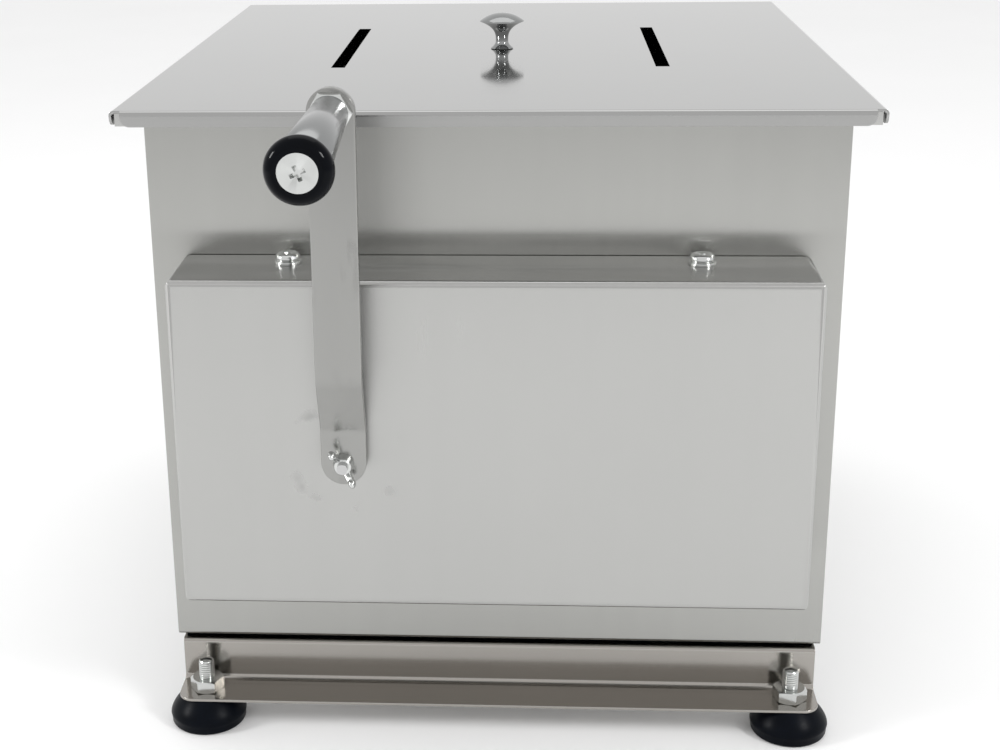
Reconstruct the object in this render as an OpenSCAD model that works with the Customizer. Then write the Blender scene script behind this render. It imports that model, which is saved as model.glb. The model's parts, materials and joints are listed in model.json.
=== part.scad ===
// Hand-cranked twin-shaft meat mixer: a double-trough tank on two base rails,
// two paddle shafts turned in opposite directions by equal gears under a front
// cover, a flat crank with a turning grip, and a lift-off lid with two slots.
// Millimetres. X runs across the front, Y from front to back, Z up.
// The origin is on the floor under the middle of the whole object.

/* [Tank] */
// Width of the front plate
body_width = 330; // [300:1:380]
// Depth from the front plate's face to the back plate's face
body_depth = 362; // [340:1:480]
// Height from the lower edge of the plates to the underside of the lid
body_height = 276.5; // [265:0.5:340]
// Thickness of the front and back plates and of the rails
plate_thickness = 1.5; // [1:0.1:3]
// Thickness of the tank wall, rim, lid and gear cover
sheet_thickness = 1.2; // [0.8:0.1:2]
// How far the rim stands out around the top of the tank
rim_reach = 11; // [8:0.5:12]

/* [Base] */
// Height of a rubber foot under the rail
foot_height = 16; // [10:0.5:25]
// Largest diameter of a rubber foot
foot_diameter = 39; // [28:1:42]
// Height of a base rail
rail_height = 24; // [21:0.5:57]
// Thickness of the packing between a rail and the plate above it
packing_thickness = 3; // [2:0.5:5]
// How far a rail's flange reaches out from the plate
rail_reach = 21; // [18:0.5:40]
// Distance between the two feet of one rail
foot_spacing = 299; // [250:1:305]
// How far outside the plate a foot stands
foot_reach = 8.5; // [8.5:0.5:14]
// Thread diameter of the foot studs
stud_diameter = 8; // [6:1:8]

/* [Lid] */
// How far the lid reaches past the body on every side
lid_overhang = 13.5; // [13:0.5:25]
// Height of the lid's turned-down edges
lid_drop = 7.3; // [7:0.1:12]
// Length of a slot in the lid
slot_length = 145; // [60:1:200]
// Width of a slot in the lid
slot_width = 7.3; // [5:0.1:12]
// Distance between the two slots
slot_spacing = 171; // [80:1:240]
// Diameter of the knob's head
knob_diameter = 25; // [20:1:35]
// Height of the knob
knob_height = 20; // [18:0.5:30]
// How far the knob stands in front of the lid's middle
knob_forward = 8; // [0:1:60]

/* [Gear cover] */
// Width of the gear cover
cover_width = 300; // [292:1:300]
// Height of the gear cover
cover_height = 163.4; // [160:0.2:168]
// How far the cover stands out from the front plate
cover_depth = 44.5; // [40:0.5:60]
// Height of the cover's lower edge above the plate's lower edge
cover_lift = 42.3; // [39:0.1:43]
// Distance between the two cover screws
cover_screw_spacing = 194; // [120:0.5:230]

/* [Shafts and gears] */
// Height of both shafts above the plates' lower edge
shaft_lift = 119.5; // [118:0.5:124]
// Diameter of both mixing shafts
shaft_diameter = 16; // [15:1:18]
// Teeth on each gear
gear_teeth = 46; // [44:2:46]
// Width of the gear teeth along the shaft
gear_width = 12; // [8:1:14]
// Narrowing of each tooth flank, which leaves play between the gears
flank_play = 0.12; // [0.08:0.02:0.3]

/* [Paddles] */
// Paddles on each shaft
paddle_count = 4; // [3:4]
// Radius swept by the paddle tips
paddle_radius = 90; // [60:1:90]
// Width of a paddle tip along the shaft
paddle_tip_width = 36; // [20:1:38]

/* [Crank] */
// Distance from the crank's axis to the grip's axis
crank_length = 168.5; // [120:0.5:200]
// How far the resting crank leans to the right of upright, in degrees
crank_rest = 0.5; // [-180:0.1:180]
// Width of the flat crank arm
arm_width = 21; // [20:1:26]
// Thickness of the flat crank arm
arm_thickness = 4; // [3:0.5:6]
// How far the arm's upper part stands in front of its lower part
arm_offset = 17; // [12:1:30]
// Length of the turning grip with its end cap
grip_length = 95.5; // [80:0.5:130]
// How far the grip and the arm's upper part are tipped forwards, in degrees
grip_droop = 2; // [0:0.1:3]
// Diameter of the grip tube beside the arm
grip_root_diameter = 16.4; // [15:0.2:18]
// Diameter of the grip tube beside the end cap
grip_tip_diameter = 22; // [18:0.2:22]
// Diameter of the bulged end cap
cap_diameter = 27; // [24:1:34]

/* [Hidden] */
$fn = 72;
part_gap = 0.05;      // between parts that are fixed together
running_gap = 0.05;   // radial clearance of turning parts
hole_gap = 0.25;      // radial clearance of screws in plain holes
overshoot = 1;        // how far a cutting tool runs past the face it cuts

// Heights above the floor.
plate_bottom = foot_height + rail_height + packing_thickness;
tank_top = plate_bottom + body_height;
lid_top = tank_top + sheet_thickness;
shaft_z = plate_bottom + shaft_lift;

// Gears.
gear_module = 3;        // pitch diameter divided by the number of teeth
pitch_radius = gear_module * gear_teeth / 2;
pressure_angle = 20;
base_radius = pitch_radius * cos(pressure_angle);
outer_radius = pitch_radius + gear_module;
root_depth = 1.25;      // depth of a tooth space below the pitch circle, in modules
root_radius = pitch_radius - root_depth * gear_module;
shaft_x = pitch_radius;
play_angle = flank_play / pitch_radius * 180 / PI;
flank_steps = 3;

// Base rails and feet.
rail_inset = 2;         // from a side edge of a plate to the end of a rail
rail_length = body_width - 2 * rail_inset;
rail_corner = 8;
rail_bend_radius = 4;
bend_radius = 2.4;
return_reach = 22;      // depth of the lower flange of a plate and of the upper flange of a rail
packing_width = 10;
base_screw_y = 15;
base_screw_spacing = 110;
base_screw_diameter = 5;
base_screw_flats = 8;
base_screw_head_height = 3.5;
base_screw_length = 12;
base_nut_height = 4;
foot_base_share = 0.84; // diameter on the floor as a share of the largest diameter
foot_neck_share = 0.62; // diameter under the rail as a share of the largest diameter
foot_edge_low = 3;
foot_edge_high = 6.5;
stud_floor = 3;
stud_top_gap = 6.4;      // from the top of a stud to the top of the rail
stud_top = foot_height + rail_height - stud_top_gap;
stud_nut_flats = 15;
stud_nut_height = 6.5;
hex_sides = 6;
hex_ratio = 1 / cos(180 / hex_sides);

// Tank.
tank_half = body_width / 2 - plate_thickness;
trough_radius = tank_half - shaft_x;
inner_radius = trough_radius - sheet_thickness;
rim_lip = 5;

// Lid.
lid_width = body_width + 2 * lid_overhang;
lid_depth = body_depth + 2 * lid_overhang;
lid_corner_gap = 5.5;   // from the lid's corner to the ends of its front and back edges
lid_edge_rounding = 4.5;
knob_neck_diameter = 7.1;
knob_base_diameter = 12.8;
knob_base_height = 2;
knob_head_height = 4.6;
knob_top_share = 0.5;   // diameter of the head's top as a share of the knob's diameter
knob_flare_share = 0.5; // height where the neck starts to widen as a share of the knob's height
knob_screw_diameter = 5;
knob_screw_depth = 8;
knob_washer_diameter = 12;
knob_screw_head = 9;
knob_screw_head_top = 6.3;
knob_screw_head_height = 3;

// Gear cover and its brackets.
cover_bottom = plate_bottom + cover_lift;
cover_top = cover_bottom + cover_height;
cover_bend = 3.2;
cover_gap = 0.8;       // between the cover's open back and the front plate
cover_side_corner = 4;
bracket_end_gap = 20;
bracket_length = cover_width - 2 * bracket_end_gap;
bracket_leg = 22;
cover_screw_y = 14;
cover_screw_diameter = 6;
cover_screw_length = 12;
cover_screw_head = 12;
cover_screw_head_height = 3.8;
cover_washer_diameter = 13;
cover_washer_thickness = 1.4;
weld_nut_flats = 10;
weld_nut_height = 5;

// Positions along the shafts, counted forwards from the front plate's face.
bush_flange = 3;
gear_back = 9;
gear_front = gear_back + gear_width;
ring_play = 0.3;
ring_back = gear_front + ring_play;
ring_thickness = 1;
nose_length = 4;
shaft_nose = gear_front + nose_length;
arm_gap = 3.5;
arm_back = cover_depth + arm_gap;
arm_front = arm_back + arm_thickness;
grip_seat = arm_front + arm_offset;

// Shafts and what holds them.
bush_diameter = 24;
bush_flange_diameter = 36;
bush_reach = 8;
seal_length = 4;
seal_diameter = 21;
cup_diameter = 32;
cup_reach = 12;
cup_floor = 2;
shaft_end_gap = 0.5;
gear_hub_diameter = 32;
gear_hub_gap = 0.4;
key_width = 5;
key_height = 5;
key_length = gear_width;
groove_depth = 0.5;
groove_gap = 0.1;
ring_reach = 2.6;
ring_opening = 5;
neck_diameter = 14;
square_size = 9;
square_shy = 0.3;      // how far the square stays behind the arm's front face, so the nut clamps
wing_thread_diameter = 5;
wing_thread_length = 7.5;
cover_bush_diameter = 20;

// Paddles.
paddle_end_gap = 3;
paddle_first = plate_thickness + bush_reach + paddle_end_gap + paddle_tip_width / 2;
paddle_pitch = 2 * (body_depth - 2 * paddle_first) / (2 * paddle_count - 1);
paddle_arm_width = 22;
paddle_thickness = 4;
paddle_tip_height = 26;
collar_diameter = 26;
collar_length = 26;

// Crank and grip.
joggle_start = 15;
joggle_angle = 24;
low_bend_radius = 8;
high_bend_radius = 20;
bend_steps = 6;
wing_boss_root = 10;
wing_boss_tip = 8;
wing_boss_height = 5;
wing_span = 21;
wing_thickness = 1.8;
wing_root_start = 2.5; // from the nut's axis to the edge of a wing inside the boss
wing_root_low = 0.5;   // from the nut's seat to the lower end of that edge
wing_root_height = 3.5;
wing_angle = 124;
wing_lean = 4;
wing_tip_radius = 2.6;
axle_diameter = 10;
axle_head_diameter = 16;
axle_head_height = 3;
lock_nut_flats = 17;
lock_nut_height = 5;
cap_length = 14;
cap_spigot = 8;
cap_shoulder = 0.4;    // how far the cap's back stands out beyond the tube
cap_recess_diameter = 16.6;
cap_recess_depth = 4.1;
cap_bulge_radius = 6.2;
grip_wall = 1.2;
grip_end_gap = 0.5;
grip_bush_length = 8;
grip_screw_head = 15.8;
grip_screw_head_height = 3;
grip_screw_diameter = 5;
grip_screw_length = 12;
recess_width = 1.6;
recess_span = 7;
recess_depth = 1.2;

tube_length = grip_length - cap_length;
spigot_front_diameter = grip_tip_diameter - 2 * (grip_wall + part_gap);
spigot_back_diameter = spigot_front_diameter
                       - (grip_tip_diameter - grip_root_diameter) * cap_spigot / tube_length;
grip_back = grip_seat + lock_nut_height + grip_end_gap;
grip_front = grip_back + grip_length;
axle_front = grip_front - cap_recess_depth + grip_end_gap;

// The front plate's face is set so that the whole object is centred on the origin.
back_reach = body_depth + foot_reach + foot_diameter / 2;
front_face = (grip_front - back_reach) / 2;

// ---------------------------------------------------------------- helpers

// Draws its children with y = 0 on the front plate's face.
module on_body() {
    translate([0, front_face, 0]) children();
}

// A cylinder along Y whose front end is `ahead` of the front plate's face.
module rod(diameter, length, ahead) {
    translate([0, -ahead, 0]) rotate([-90, 0, 0]) cylinder(d = diameter, h = length);
}

// Draws its children on the drive shaft's axis, or on the driven shaft's axis.
module at_shaft(side) {
    translate([side * shaft_x, 0, shaft_z]) children();
}

// Draws its children on both shaft axes.
module at_both_shafts() {
    for (side = [-1, 1]) at_shaft(side) children();
}

// Draws what belongs to the front of the body at its back, turned half round.
module turned_round() {
    translate([0, body_depth, 0]) rotate([0, 0, 180]) children();
}

// Draws its children at the front of the body and at its back.
module at_both_ends() {
    children();
    turned_round() children();
}

// Draws its children at the front screws of the base, on top of the rail.
module at_base_screws() {
    for (place = [-1, 0, 1])
        translate([place * base_screw_spacing, base_screw_y, foot_height + rail_height]) children();
}

// Draws its children at the four feet.
module at_feet() {
    at_both_ends()
        for (side = [-1, 1])
            translate([side * foot_spacing / 2, -foot_reach, 0]) children();
}

// Draws its children on the drive shaft, turned with the resting crank.
module at_crank() {
    at_shaft(-1) rotate([0, crank_rest, 0]) children();
}

// Draws its children on the grip's axis, which is tipped about the arm's front face.
module at_grip() {
    at_crank()
        translate([0, -grip_seat, crank_length])
            rotate([grip_droop, 0, 0])
                translate([0, grip_seat, 0]) children();
}

// A hexagon across flats along Z.
module hex_prism(flats, height) {
    cylinder(d = flats * hex_ratio, h = height, $fn = hex_sides);
}

// Section of a strip with one bend at the origin and legs along +X and +Y.
module bent_section(leg_x, leg_y, thickness, radius) {
    translate([radius, 0]) square([leg_x - radius, thickness]);
    translate([0, radius]) square([thickness, leg_y - radius]);
    intersection() {
        translate([radius, radius])
            difference() {
                circle(radius);
                circle(radius - thickness);
            }
        square(radius);
    }
}

// Rectangle centred on X from y = 0 to `depth`, with its two far corners rounded.
module round_ended(width, depth, radius) {
    translate([-width / 2, 0]) square([width, depth - radius]);
    translate([-width / 2 + radius, 0]) square([width - 2 * radius, depth]);
    for (side = [-1, 1])
        translate([side * (width / 2 - radius), depth - radius]) circle(radius);
}

// ---------------------------------------------------------------- tank

// Outline of the tank seen from the front, for a given half width and trough radius.
module trough_solid(half_width, radius, length) {
    translate([-half_width, 0, shaft_z]) cube([2 * half_width, length, tank_top - shaft_z]);
    translate([-shaft_x, 0, shaft_z - radius / 2]) cube([2 * shaft_x, length, radius / 2]);
    at_both_shafts() rotate([-90, 0, 0]) cylinder(r = radius, h = length);
}

module tank_wall() color("silver") on_body() difference() {
    translate([0, plate_thickness, 0])
        intersection() {
            trough_solid(tank_half, trough_radius, body_depth - 2 * plate_thickness);
            translate([-body_width, 0, 0])
                cube([2 * body_width, body_depth, tank_top - sheet_thickness]);
        }
    trough_solid(tank_half - sheet_thickness, inner_radius, body_depth);
}

// The front plate, with a flange along its lower edge that is bent backwards.
module end_plate() {
    difference() {
        translate([-body_width / 2, 0, plate_bottom])
            rotate([90, 0, 90])
                linear_extrude(body_width)
                    bent_section(return_reach, body_height - sheet_thickness, plate_thickness, bend_radius);
        at_both_shafts() rod(bush_diameter, plate_thickness + 2 * overshoot, overshoot);
        at_base_screws()
            translate([0, 0, packing_thickness - overshoot])
                cylinder(d = base_screw_diameter + 2 * hole_gap, h = plate_thickness + 2 * overshoot);
    }
}

module front_plate() color("lightgray") on_body() end_plate();

module back_plate() color("lightgray") on_body() turned_round() end_plate();

module tank_rim() color("silver") on_body() {
    opening_width = 2 * (tank_half - sheet_thickness);
    difference() {
        translate([-body_width / 2 - rim_reach, -rim_reach, tank_top - sheet_thickness - rim_lip])
            cube([body_width + 2 * rim_reach, body_depth + 2 * rim_reach, sheet_thickness + rim_lip]);
        translate([-body_width / 2 - rim_reach + sheet_thickness, -rim_reach + sheet_thickness,
                   tank_top - 2 * sheet_thickness - rim_lip])
            cube([body_width + 2 * (rim_reach - sheet_thickness),
                  body_depth + 2 * (rim_reach - sheet_thickness), sheet_thickness + rim_lip]);
        translate([-opening_width / 2, plate_thickness, tank_top - 2 * sheet_thickness])
            cube([opening_width, body_depth - 2 * plate_thickness, 3 * sheet_thickness]);
    }
}

// ---------------------------------------------------------------- base

// Section of a rail, with forwards as +X, up as +Y and the web's back at the origin:
// a lower flange that reaches forwards, the web and an upper flange that reaches back.
module rail_section() {
    bent_section(rail_reach + 2 * plate_thickness, rail_height - bend_radius, plate_thickness,
                 rail_bend_radius);
    translate([plate_thickness, rail_height])
        rotate(180)
            bent_section(return_reach - plate_thickness, rail_height - rail_bend_radius,
                         plate_thickness, bend_radius);
}

// The front rail, with its web just behind the plate's face.
module rail() {
    difference() {
        intersection() {
            translate([rail_length / 2, 2 * plate_thickness, foot_height])
                rotate([90, 0, -90]) linear_extrude(rail_length) rail_section();
            translate([0, return_reach, 0])
                rotate([0, 0, 180])
                    linear_extrude(plate_bottom)
                        round_ended(rail_length, return_reach + rail_reach, rail_corner);
        }
        for (side = [-1, 1])
            translate([side * foot_spacing / 2, -foot_reach, foot_height - overshoot])
                cylinder(d = stud_diameter + 2 * hole_gap, h = plate_thickness + 2 * overshoot);
        at_base_screws()
            translate([0, 0, -plate_thickness - overshoot])
                cylinder(d = base_screw_diameter + 2 * hole_gap, h = plate_thickness + 2 * overshoot);
    }
}

module front_rail() color("gray") on_body() rail();

module rear_rail() color("gray") on_body() turned_round() rail();

// The front packing, a strip between the rail's upper flange and the plate's flange.
module packing() {
    difference() {
        translate([-rail_length / 2, base_screw_y - packing_width / 2, plate_bottom - packing_thickness])
            cube([rail_length, packing_width, packing_thickness]);
        at_base_screws()
            translate([0, 0, -overshoot])
                cylinder(d = base_screw_diameter + 2 * hole_gap, h = packing_thickness + 2 * overshoot);
    }
}

module front_packing() color("#303030") on_body() packing();

module rear_packing() color("#303030") on_body() turned_round() packing();

module base_screws() color("gainsboro") on_body() at_both_ends() at_base_screws()
    translate([0, 0, -plate_thickness]) {
        cylinder(d = base_screw_diameter, h = base_screw_length);
        translate([0, 0, -base_screw_head_height])
            hex_prism(base_screw_flats, base_screw_head_height);
    }

module base_nuts() color("gainsboro") on_body() at_both_ends() at_base_screws()
    translate([0, 0, packing_thickness + plate_thickness])
        difference() {
            hex_prism(base_screw_flats, base_nut_height);
            translate([0, 0, -overshoot])
                cylinder(d = base_screw_diameter + 2 * part_gap, h = base_nut_height + 2 * overshoot);
        }

module foot() {
    difference() {
        union() {
            cylinder(d1 = foot_base_share * foot_diameter, d2 = foot_diameter, h = foot_edge_low);
            translate([0, 0, foot_edge_low])
                cylinder(d = foot_diameter, h = foot_edge_high - foot_edge_low);
            translate([0, 0, foot_edge_high])
                cylinder(d1 = foot_diameter, d2 = foot_neck_share * foot_diameter,
                         h = foot_height - foot_edge_high);
        }
        translate([0, 0, stud_floor])
            cylinder(d = stud_diameter + 2 * part_gap, h = foot_height);
    }
}

module feet() color("#202226") on_body() at_feet() foot();

module foot_studs() color("gainsboro") on_body() at_feet()
    translate([0, 0, stud_floor]) cylinder(d = stud_diameter, h = stud_top - stud_floor);

module foot_nuts() color("gainsboro") on_body() at_feet()
    translate([0, 0, foot_height + plate_thickness])
        difference() {
            hex_prism(stud_nut_flats, stud_nut_height);
            translate([0, 0, -overshoot])
                cylinder(d = stud_diameter + 2 * part_gap, h = stud_nut_height + 2 * overshoot);
        }

// ---------------------------------------------------------------- gear cover

// An angle strip along X with its bend on the front plate at the origin, one leg
// standing out from the plate and one leg going up it.
module bracket() {
    translate([bracket_length / 2, 0, 0])
        rotate([90, 0, -90])
            linear_extrude(bracket_length)
                bent_section(bracket_leg, bracket_leg, plate_thickness, bend_radius);
}

module upper_bracket() color("darkgray") on_body() difference() {
    translate([0, 0, cover_top - sheet_thickness]) mirror([0, 0, 1]) bracket();
    at_cover_screws()
        translate([0, 0, -bracket_leg])
            cylinder(d = cover_screw_diameter + 2 * hole_gap, h = 2 * bracket_leg);
}

module lower_bracket() color("darkgray") on_body()
    translate([0, 0, cover_bottom + sheet_thickness]) bracket();

// Draws its children on the cover's top face at both cover screws.
module at_cover_screws() {
    for (side = [-1, 1])
        translate([side * cover_screw_spacing / 2, -cover_screw_y, cover_top]) children();
}

module bracket_nuts() color("gainsboro") on_body() at_cover_screws()
    translate([0, 0, -sheet_thickness - plate_thickness - weld_nut_height])
        difference() {
            hex_prism(weld_nut_flats, weld_nut_height);
            translate([0, 0, -overshoot])
                cylinder(d = cover_screw_diameter + 2 * part_gap, h = weld_nut_height + 2 * overshoot);
        }

// A solid block with rounded edges all round its front face.
module cover_block(width, height, depth, bend) {
    intersection() {
        translate([0, 0, -height / 2])
            rotate([0, 0, 180]) linear_extrude(height) round_ended(width, depth, bend);
        translate([-width / 2, 0, 0])
            rotate([0, -90, 180]) linear_extrude(width) round_ended(height, depth, bend);
        rotate([90, 0, 0])
            linear_extrude(depth)
                union() {
                    square([width - 2 * cover_side_corner, height], center = true);
                    square([width, height - 2 * cover_side_corner], center = true);
                    for (x = [-1, 1])
                        for (z = [-1, 1])
                            translate([x * (width / 2 - cover_side_corner),
                                       z * (height / 2 - cover_side_corner)])
                                circle(cover_side_corner);
                }
    }
}

module gear_cover() color("lightgray") on_body() difference() {
    translate([0, 0, cover_bottom + cover_height / 2])
        difference() {
            cover_block(cover_width, cover_height, cover_depth, cover_bend);
            translate([0, overshoot, 0])
                cover_block(cover_width - 2 * sheet_thickness, cover_height - 2 * sheet_thickness,
                            cover_depth - sheet_thickness + overshoot, cover_bend - sheet_thickness);
        }
    translate([-cover_width, -cover_gap, cover_bottom - overshoot])
        cube([2 * cover_width, cover_depth, cover_height + 2 * overshoot]);
    at_shaft(-1) rod(cover_bush_diameter, cover_depth, cover_depth + overshoot);
    at_cover_screws()
        translate([0, 0, -2 * sheet_thickness])
            cylinder(d = cover_screw_diameter + 2 * hole_gap, h = 3 * sheet_thickness);
}

module cover_screws() color("white") on_body() at_cover_screws()
    translate([0, 0, cover_washer_thickness]) {
        translate([0, 0, -cover_screw_length])
            cylinder(d = cover_screw_diameter, h = cover_screw_length);
        difference() {
            cylinder(d = cover_screw_head, h = cover_screw_head_height);
            translate([0, 0, cover_screw_head_height - recess_depth])
                for (turn = [0, 90])
                    rotate([0, 0, turn])
                        translate([-cover_screw_head / 4, -recess_width / 2, 0])
                            cube([cover_screw_head / 2, recess_width, 2 * recess_depth]);
        }
    }

module cover_washers() color("white") on_body() at_cover_screws()
    difference() {
        cylinder(d = cover_washer_diameter, h = cover_washer_thickness);
        translate([0, 0, -overshoot])
            cylinder(d = cover_screw_diameter + 2 * hole_gap, h = cover_washer_thickness + 2 * overshoot);
    }

module cover_bush() color("ivory") on_body() at_shaft(-1) difference() {
    rod(cover_bush_diameter, 3 * sheet_thickness, cover_depth);
    rod(neck_diameter + 2 * running_gap, 5 * sheet_thickness, cover_depth + overshoot);
}

// ---------------------------------------------------------------- bearings

module front_bushes() color("ivory") on_body() at_both_shafts() difference() {
    union() {
        rod(bush_flange_diameter, bush_flange, bush_flange);
        rod(bush_diameter, bush_flange + bush_reach, bush_flange);
    }
    rod(shaft_diameter + 2 * running_gap, bush_reach + 2 * bush_flange, bush_flange + overshoot);
    translate([0, bush_reach - seal_length, 0]) rod(seal_diameter, bush_reach, 0);
}

module shaft_seals() color("#303030") on_body() at_both_shafts()
    translate([0, bush_reach - seal_length, 0])
        difference() {
            rod(seal_diameter, seal_length, 0);
            rod(shaft_diameter + 2 * running_gap, seal_length + 2 * overshoot, overshoot);
        }

module rear_bushes() color("ivory") on_body() at_both_shafts()
    translate([0, body_depth - plate_thickness, 0])
        difference() {
            union() {
                rod(cup_diameter, bush_flange, bush_flange);
                rod(bush_diameter, bush_flange + plate_thickness + cup_reach - cup_floor, bush_flange);
            }
            rod(shaft_diameter + 2 * running_gap, cup_reach + 3 * bush_flange, bush_flange + overshoot);
        }

module rear_cups() color("silver") on_body() at_both_shafts()
    translate([0, body_depth, 0])
        difference() {
            rod(cup_diameter, cup_reach, 0);
            rod(bush_diameter, cup_reach - cup_floor + overshoot, overshoot);
        }

// ---------------------------------------------------------------- lid

// One turned-down edge of the lid, `length` long, with its bend along X at the
// origin and its two lower corners rounded. The sheet continues towards +Y.
module lid_edge(length) {
    intersection() {
        translate([-length / 2, 0, 0])
            rotate([0, 90, 0])
                linear_extrude(length)
                    bent_section(lid_drop, 2 * bend_radius, sheet_thickness, bend_radius);
        rotate([-90, 0, 0])
            linear_extrude(2 * bend_radius)
                round_ended(length, lid_drop, lid_edge_rounding);
    }
}

// Draws its children on the lid's top face at its middle.
module at_lid_middle() {
    translate([0, body_depth / 2, lid_top]) children();
}

// Draws its children on the lid's top face at the knob.
module at_knob() {
    at_lid_middle() translate([0, -knob_forward, 0]) children();
}

module lid() color("whitesmoke") on_body() at_lid_middle() difference() {
    union() {
        translate([-lid_width / 2 + bend_radius, -lid_depth / 2 + bend_radius, -sheet_thickness])
            cube([lid_width - 2 * bend_radius, lid_depth - 2 * bend_radius, sheet_thickness]);
        for (turn = [0, 180]) {
            rotate([0, 0, turn])
                translate([0, -lid_depth / 2, 0]) lid_edge(lid_width - 2 * lid_corner_gap);
            rotate([0, 0, turn + 90])
                translate([0, -lid_width / 2, 0]) lid_edge(lid_depth - 2 * bend_radius);
        }
    }
    for (side = [-1, 1])
        translate([side * slot_spacing / 2 - slot_width / 2, -slot_length / 2, -2 * sheet_thickness])
            cube([slot_width, slot_length, 3 * sheet_thickness]);
    translate([0, -knob_forward, -2 * sheet_thickness])
        cylinder(d = knob_screw_diameter + 2 * hole_gap, h = 3 * sheet_thickness);
}

module lid_knob() color("white") on_body() at_knob() difference() {
    flare_start = knob_flare_share * knob_height;
    union() {
        cylinder(d1 = knob_base_diameter, d2 = knob_neck_diameter, h = knob_base_height);
        cylinder(d = knob_neck_diameter, h = knob_height - knob_head_height);
        translate([0, 0, flare_start])
            cylinder(d1 = knob_neck_diameter, d2 = knob_diameter,
                     h = knob_height - knob_head_height - flare_start);
        translate([0, 0, knob_height - knob_head_height])
            cylinder(d1 = knob_diameter, d2 = knob_top_share * knob_diameter, h = knob_head_height);
    }
    translate([0, 0, -overshoot])
        cylinder(d = knob_screw_diameter + 2 * part_gap, h = knob_screw_depth + overshoot);
}

module knob_screw() color("white") on_body() at_knob() {
    thread_length = knob_screw_depth - part_gap + 2 * sheet_thickness;
    translate([0, 0, -2 * sheet_thickness])
        cylinder(d = knob_screw_diameter, h = thread_length);
    translate([0, 0, -2 * sheet_thickness - knob_screw_head_height])
        cylinder(d1 = knob_screw_head_top, d2 = knob_screw_head, h = knob_screw_head_height);
}

module knob_washer() color("white") on_body() at_knob()
    translate([0, 0, -2 * sheet_thickness])
        difference() {
            cylinder(d = knob_washer_diameter, h = sheet_thickness);
            translate([0, 0, -overshoot])
                cylinder(d = knob_screw_diameter + 2 * hole_gap, h = sheet_thickness + 2 * overshoot);
        }

// ---------------------------------------------------------------- gears

// Involute function of an angle, in degrees.
function involute(angle) = tan(angle) * 180 / PI - angle;

// Half the angle that a tooth takes up at a radius.
function half_tooth(radius) =
    90 / gear_teeth - play_angle + involute(pressure_angle) - involute(acos(base_radius / radius));

function flank_radius(step) = root_radius + (outer_radius - root_radius) * step / flank_steps;

// Outline of one tooth, up one flank and down the other.
function tooth(number) = [
    for (flank = [-1, 1])
        for (step = [0 : flank_steps])
            let (radius = flank_radius(flank < 0 ? step : flank_steps - step),
                 angle = number * 360 / gear_teeth + flank * half_tooth(radius))
                radius * [cos(angle), sin(angle)]
];

module gear(turn) {
    difference() {
        union() {
            translate([0, -gear_back, 0])
                rotate([90, 0, 0])
                    rotate([0, 0, turn])
                        linear_extrude(gear_width)
                            polygon([for (number = [0 : gear_teeth - 1]) for (p = tooth(number)) p]);
            rod(gear_hub_diameter, gear_back - bush_flange - gear_hub_gap + overshoot,
                gear_back + overshoot);
        }
        rod(shaft_diameter + 2 * part_gap, gear_front + 2 * overshoot, gear_front + overshoot);
        translate([-key_width / 2 - part_gap, -gear_front - overshoot, 0])
            cube([key_width + 2 * part_gap, gear_front + overshoot,
                  shaft_diameter / 2 + key_height / 2 + part_gap]);
    }
}

module drive_gear() color("gold") on_body() at_shaft(-1) gear(0);

module driven_gear() color("gold") on_body() at_shaft(1) gear(180 / gear_teeth);

module shaft_key() {
    translate([-key_width / 2, -gear_front, shaft_diameter / 2 - key_height / 2])
        cube([key_width, key_length, key_height]);
}

module drive_key() color("dimgray") on_body() at_shaft(-1) shaft_key();

module driven_key() color("dimgray") on_body() at_shaft(1) shaft_key();

module retaining_ring() {
    difference() {
        rod(shaft_diameter + 2 * ring_reach, ring_thickness, ring_back + ring_thickness);
        rod(shaft_diameter - 2 * groove_depth + 2 * part_gap, 3 * ring_thickness,
            ring_back + 2 * ring_thickness);
        translate([-ring_opening / 2, -ring_back - 2 * ring_thickness, -shaft_diameter])
            cube([ring_opening, 3 * ring_thickness, shaft_diameter]);
    }
}

module drive_ring() color("dimgray") on_body() at_shaft(-1) retaining_ring();

module driven_ring() color("dimgray") on_body() at_shaft(1) retaining_ring();

// ---------------------------------------------------------------- shafts and paddles

// The part of a mixing shaft that both shafts share, up to its front nose.
module mixing_shaft() {
    back_end = body_depth + cup_reach - cup_floor - shaft_end_gap;
    difference() {
        rod(shaft_diameter, back_end + shaft_nose, shaft_nose);
        difference() {
            rod(shaft_diameter + 2 * overshoot, ring_thickness + groove_gap,
                ring_back + ring_thickness + groove_gap / 2);
            rod(shaft_diameter - 2 * groove_depth, 5 * ring_thickness, ring_back + 3 * ring_thickness);
        }
        translate([-key_width / 2 - part_gap, -gear_front - part_gap,
                   shaft_diameter / 2 - key_height / 2 - part_gap])
            cube([key_width + 2 * part_gap, key_length + 2 * part_gap, key_height]);
    }
}

module drive_shaft() color("darkgray") on_body() at_shaft(-1) {
    mixing_shaft();
    rod(neck_diameter, arm_back - shaft_nose, arm_back);
    rotate([0, crank_rest, 0])
        translate([-square_size / 2, -arm_front + square_shy, -square_size / 2])
            cube([square_size, arm_thickness - square_shy + overshoot, square_size]);
    rod(wing_thread_diameter, wing_thread_length + overshoot, arm_front + wing_thread_length);
}

module driven_shaft() color("darkgray") on_body() at_shaft(1) mixing_shaft();

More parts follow.
